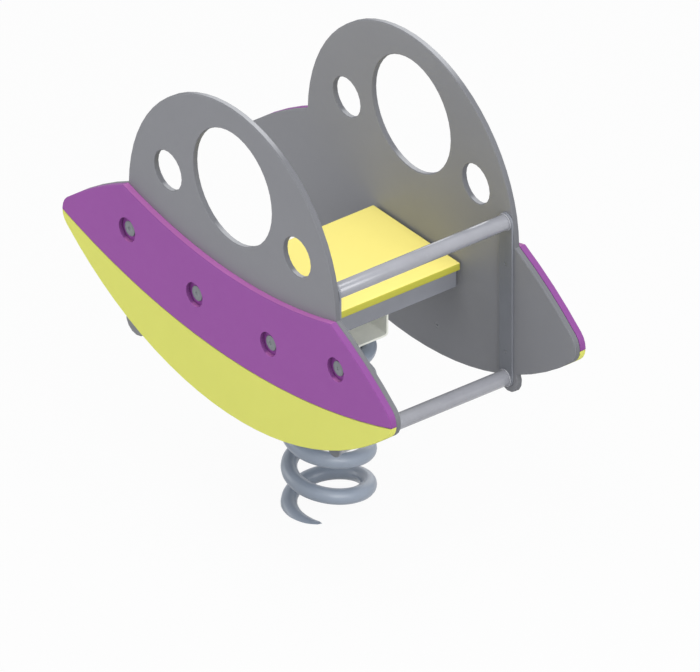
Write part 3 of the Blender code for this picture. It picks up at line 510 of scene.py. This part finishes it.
def make_weld(name, place):
    """Bead of weld round a bar's end, with the small ripples of a seam laid by hand."""
    bpy.ops.object.select_all(action="DESELECT")
    bpy.ops.mesh.primitive_torus_add(
        major_segments=96, minor_segments=12, major_radius=WELD_RING_R,
        minor_radius=WELD_R, location=place, rotation=(math.pi / 2, 0, 0))
    bead = bpy.context.view_layer.objects.active
    bead.name = name
    for vertex in bead.data.vertices:
        around = math.atan2(vertex.co.y, vertex.co.x)
        centre = Vector((math.cos(around), math.sin(around), 0)) * WELD_RING_R
        ripple = RIPPLE_SHARE * math.sin(RIPPLE_COUNT * around)
        swell = SWELL_SHARE * math.sin(SWELL_COUNT * around + SWELL_PHASE)
        vertex.co = centre + (vertex.co - centre) * (1 + ripple + swell)
    settle(bead)
    smooth(bead, 60)
    deliver(bead, "bar_steel")


def make_bars():
    for node in ("handlebar", "front_foot_bar"):
        middle, half = make_bar(node + "_tube", node)
        for side, direction in SIDES.items():
            weld_y = direction * (half - WELD_R / 2)
            make_weld(f"{node}_weld_{side}", (middle.x, weld_y, middle.z))
    softened_copy("rear_foot_bar", "rear_foot_bar_round", "bar_steel")


# Sunk bolts of the bands

def add_disc(radius, low, high, sides=60):
    """An upright cylinder between two heights."""
    bpy.ops.object.select_all(action="DESELECT")
    bpy.ops.mesh.primitive_cylinder_add(vertices=sides, radius=radius, depth=high - low,
                                        location=(0, 0, (low + high) / 2))
    disc = bpy.context.view_layer.objects.active
    settle(disc)
    return disc


def cut_with(piece, cutter):
    apply_modifier(piece, "BOOLEAN", operation="DIFFERENCE", solver="EXACT", object=cutter)
    bpy.data.objects.remove(cutter)


def make_washer():
    """Flat washer with its seat at height 0 and a hole for the shank."""
    washer = add_disc(WASHER_R, 0, WASHER_THICKNESS)
    hole_r = BOLT_SHANK_R + SHANK_CLEARANCE
    cut_with(washer, add_disc(hole_r, -CUT_MARGIN, WASHER_THICKNESS + CUT_MARGIN))
    round_edges(washer, WASHER_EDGE_R, steps=2, above_degrees=50)
    smooth(washer, 40)
    return washer


def make_bolt_head():
    """Low round head on the washer, its shank down and a hexagonal socket in its top."""
    bolt = add_disc(BOLT_HEAD_R, WASHER_THICKNESS, BOLT_HEAD_TOP)
    bpy.ops.object.mode_set(mode="EDIT")
    bpy.ops.mesh.select_all(action="DESELECT")
    bpy.ops.object.mode_set(mode="OBJECT")
    underside = min(bolt.data.polygons, key=lambda face: face.normal.z)
    underside.select = True
    bpy.ops.object.mode_set(mode="EDIT")
    bpy.ops.mesh.inset(thickness=BOLT_HEAD_R - BOLT_SHANK_R)
    bpy.ops.mesh.extrude_region_move(
        TRANSFORM_OT_translate={"value": (0, 0, -BOLT_SHANK_LENGTH)})
    bpy.ops.object.mode_set(mode="OBJECT")
    socket_top = BOLT_HEAD_TOP + CUT_MARGIN
    cut_with(bolt, add_disc(BOLT_SOCKET_R, BOLT_SOCKET_FLOOR, socket_top, sides=6))
    round_edges(bolt, STEEL_EDGE_R, steps=3, above_degrees=50)
    smooth(bolt, 40)
    return bolt


def place_copy(pattern, name, place):
    """A copy of a pattern with its own mesh, at a place that ends up in that mesh."""
    piece = bpy.data.objects.new(name, pattern.data.copy())
    bpy.context.scene.collection.objects.link(piece)
    piece.matrix_world = place
    settle(piece)
    return piece


def make_band_bolts():
    head = make_bolt_head()
    washer = make_washer()
    for side, direction in SIDES.items():
        outwards = Matrix.Rotation(math.pi / 2 * -direction, 4, "X")
        for end in ("front", "rear"):
            for station in ("inner", "outer"):
                node = f"{side}_bolt_{end}_{station}"
                low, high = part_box(node)
                middle = (low + high) / 2
                seat = Matrix.Translation((middle.x, direction * BOLT_SEAT_Y, middle.z))
                place = seat @ outwards
                deliver(place_copy(head, node + "_head", place), "bolt_head_paint", node)
                deliver(place_copy(washer, node + "_washer", place), "purple_panel", node)
    bpy.data.objects.remove(head)
    bpy.data.objects.remove(washer)


# Coil spring

def spring_line():
    """Middle line of the spring's wire, from its top end down to its bottom end."""
    active = ACTIVE_TURNS * 2 * math.pi
    slope = SPRING_RISE / active
    total = 2 * END_TURN_ANGLE + active + BLEND_ANGLE
    steps = round(WIRE_POINTS_PER_TURN * total / (2 * math.pi))

    def fallen(past):
        """Fall of the wire at an angle past its flat end turn."""
        if past <= 0:
            return 0
        if past < BLEND_ANGLE:
            return slope * past ** 2 / (2 * BLEND_ANGLE)
        return slope * (past - BLEND_ANGLE / 2)

    points = []
    for step in range(steps + 1):
        angle = total * step / steps
        if angle < total / 2:
            height = BOTTOM_WIRE_Z + SPRING_RISE - fallen(angle - END_TURN_ANGLE)
        else:
            height = BOTTOM_WIRE_Z + fallen(total - END_TURN_ANGLE - angle)
        turn = TOP_END_ANGLE + angle
        points.append(Vector((COIL_R * math.cos(turn), COIL_R * math.sin(turn), height)))
    last = TOP_END_ANGLE + total
    back = Vector((math.sin(TOP_END_ANGLE), -math.cos(TOP_END_ANGLE), 0))
    ahead = Vector((-math.sin(last), math.cos(last), 0))
    return [points[0] + back * END_RUN] + points + [points[-1] + ahead * END_RUN]


def make_wire(name, points):
    """Round wire with closed ends along a line of points."""
    curve = bpy.data.curves.new(name, "CURVE")
    curve.dimensions = "3D"
    curve.bevel_depth = WIRE_R
    curve.bevel_resolution = 6
    curve.use_fill_caps = True
    curve.twist_mode = "Z_UP"
    spline = curve.splines.new("POLY")
    spline.points.add(len(points) - 1)
    for target, point in zip(spline.points, points):
        target.co = (*point, 1)
    wire = bpy.data.objects.new(name, curve)
    bpy.context.scene.collection.objects.link(wire)
    pick(wire)
    bpy.ops.object.convert(target="MESH")
    wire = bpy.context.view_layer.objects.active
    bpy.ops.object.mode_set(mode="EDIT")
    bpy.ops.mesh.select_all(action="SELECT")
    bpy.ops.mesh.remove_doubles(threshold=MERGE_DISTANCE)
    bpy.ops.mesh.normals_make_consistent(inside=False)
    bpy.ops.object.mode_set(mode="OBJECT")
    smooth(wire, 40)
    return wire


def make_spring():
    """Two halves of one wire, split at the height of the pivot."""
    line = spring_line()
    middle = min(range(len(line)), key=lambda index: abs(line[index].z - PIVOT_Z))
    seam = line[middle]
    # A short last step along the wire on both sides, so that the two end rings lie on each other
    along = (line[middle + 1] - line[middle - 1]).normalized() * SEAM_STEP
    upper = line[:middle] + [seam - along, seam]
    lower = [seam, seam + along] + line[middle + 1:]
    halves = (("spring_upper_half", upper, "spring", "rider", UPPER_BEND),
              ("spring_lower_half", lower, "anchor", "spring", LOWER_BEND))
    for name, points, first_body, second_body, (start_z, end_z) in halves:
        wire = make_wire(name, points)
        coat_with(wire, "spring_paint")
        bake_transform(wire)
        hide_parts("spring")


# Nodes that stay as they are

def paint_carried_nodes():
    slots = {entry["node"]: entry["material_slot"] for entry in frame["record"]["subparts"]}
    for name, node in frame["nodes"].items():
        if not node.hide_render:
            coat_with(node, slots[name])


# Stage, lamps and camera

def white_for_camera(tree, lit, output_socket, share=1.0):
    """Show white to the camera and in reflections, while the lit look takes the rest."""
    path = tree.nodes.new("ShaderNodeLightPath")
    mirrored = maths(tree, "MAXIMUM", path.outputs["Is Glossy Ray"],
                     path.outputs["Is Transmission Ray"])
    seen = maths(tree, "MAXIMUM", path.outputs["Is Camera Ray"], mirrored)
    glow = tree.nodes.new("ShaderNodeEmission")
    glow.inputs["Color"].default_value = (1, 1, 1, 1)
    glow.inputs["Strength"].default_value = 1.0
    mix = tree.nodes.new("ShaderNodeMixShader")
    tree.links.new(maths(tree, "MULTIPLY", seen, share), mix.inputs[0])
    tree.links.new(lit, mix.inputs[1])
    tree.links.new(glow.outputs[0], mix.inputs[2])
    tree.links.new(mix.outputs[0], output_socket)


def make_stage():
    bpy.ops.object.select_all(action="DESELECT")
    bpy.ops.mesh.primitive_plane_add(size=FLOOR_SIZE, location=(0, 0, GROUND_Z))
    floor = bpy.context.view_layer.objects.active
    floor.name = "floor"
    paint = bpy.data.materials.new("floor_white")
    paint.use_nodes = True
    tree = paint.node_tree
    shader = tree.nodes["Principled BSDF"]
    shader.inputs["Base Color"].default_value = (FLOOR_GREY, FLOOR_GREY, FLOOR_GREY, 1)
    shader.inputs["Roughness"].default_value = 0.9
    shader.inputs["Specular IOR Level"].default_value = 0.0
    white_for_camera(tree, shader.outputs[0], tree.nodes["Material Output"].inputs["Surface"],
                     FLOOR_WHITE_SHARE)
    floor.data.materials.append(paint)


def soft_lamp(name, direction, power):
    """A round lamp that shines from a direction at the rider's middle."""
    lamp = bpy.data.lights.new(name, "AREA")
    lamp.shape = "DISK"
    lamp.size = LAMP_SIZE
    lamp.energy = power
    lamp_object = bpy.data.objects.new(name, lamp)
    outwards = Vector(direction).normalized()
    lamp_object.location = LAMP_AIM + outwards * LAMP_DISTANCE
    lamp_object.rotation_mode = "QUATERNION"
    lamp_object.rotation_quaternion = outwards.to_track_quat("Z", "Y")
    bpy.context.scene.collection.objects.link(lamp_object)


def make_light():
    world = bpy.data.worlds.new("studio")
    world.use_nodes = True
    tree = world.node_tree
    ambient = tree.nodes["Background"]
    ambient.inputs["Color"].default_value = (*AMBIENT_COLOUR, 1)
    ambient.inputs["Strength"].default_value = AMBIENT_STRENGTH
    white_for_camera(tree, ambient.outputs[0], tree.nodes["World Output"].inputs["Surface"])
    bpy.context.scene.world = world
    soft_lamp("overhead", (0.10, -0.12, 1.0), power=110)
    soft_lamp("side_fill", (-1.0, -0.85, 0.15), power=48)
    soft_lamp("front_fill", (1.0, -0.10, 0.46), power=105)
    soft_lamp("back_fill", (-0.70, 1.0, 0.30), power=26)


def make_camera():
    """Parallel camera that puts the near saucer's middle on its pixel of the photograph."""
    level = math.cos(CAMERA_ELEVATION)
    right = Vector((math.cos(CAMERA_AZIMUTH), math.sin(CAMERA_AZIMUTH), 0))
    back = Vector((math.sin(CAMERA_AZIMUTH) * level, -math.cos(CAMERA_AZIMUTH) * level,
                   math.sin(CAMERA_ELEVATION)))
    up = back.cross(right)
    saucer_middle = Vector((SAUCER_X, -OUTER_FACE_Y, TIP_Z))
    pixels_right = FRAME_WIDTH / 2 - SAUCER_PIXEL_X
    pixels_up = SAUCER_PIXEL_Y - FRAME_HEIGHT / 2
    aim = saucer_middle + (right * pixels_right + up * pixels_up) * METRES_PER_PIXEL
    lens = bpy.data.cameras.new("camera")
    lens.type = "ORTHO"
    lens.ortho_scale = FRAME_WIDTH * METRES_PER_PIXEL
    lens.clip_end = CAMERA_REACH
    camera = bpy.data.objects.new("camera", lens)
    camera.rotation_mode = "QUATERNION"
    camera.rotation_quaternion = back.to_track_quat("Z", "Y")
    camera.location = aim + back * CAMERA_DISTANCE
    bpy.context.scene.collection.objects.link(camera)
    bpy.context.scene.camera = camera


make_boards()
make_brackets()
make_seat()
make_bars()
make_band_bolts()
make_spring()
paint_carried_nodes()
make_stage()
make_light()
make_camera()
bpy.context.scene.view_settings.view_transform = "Standard"
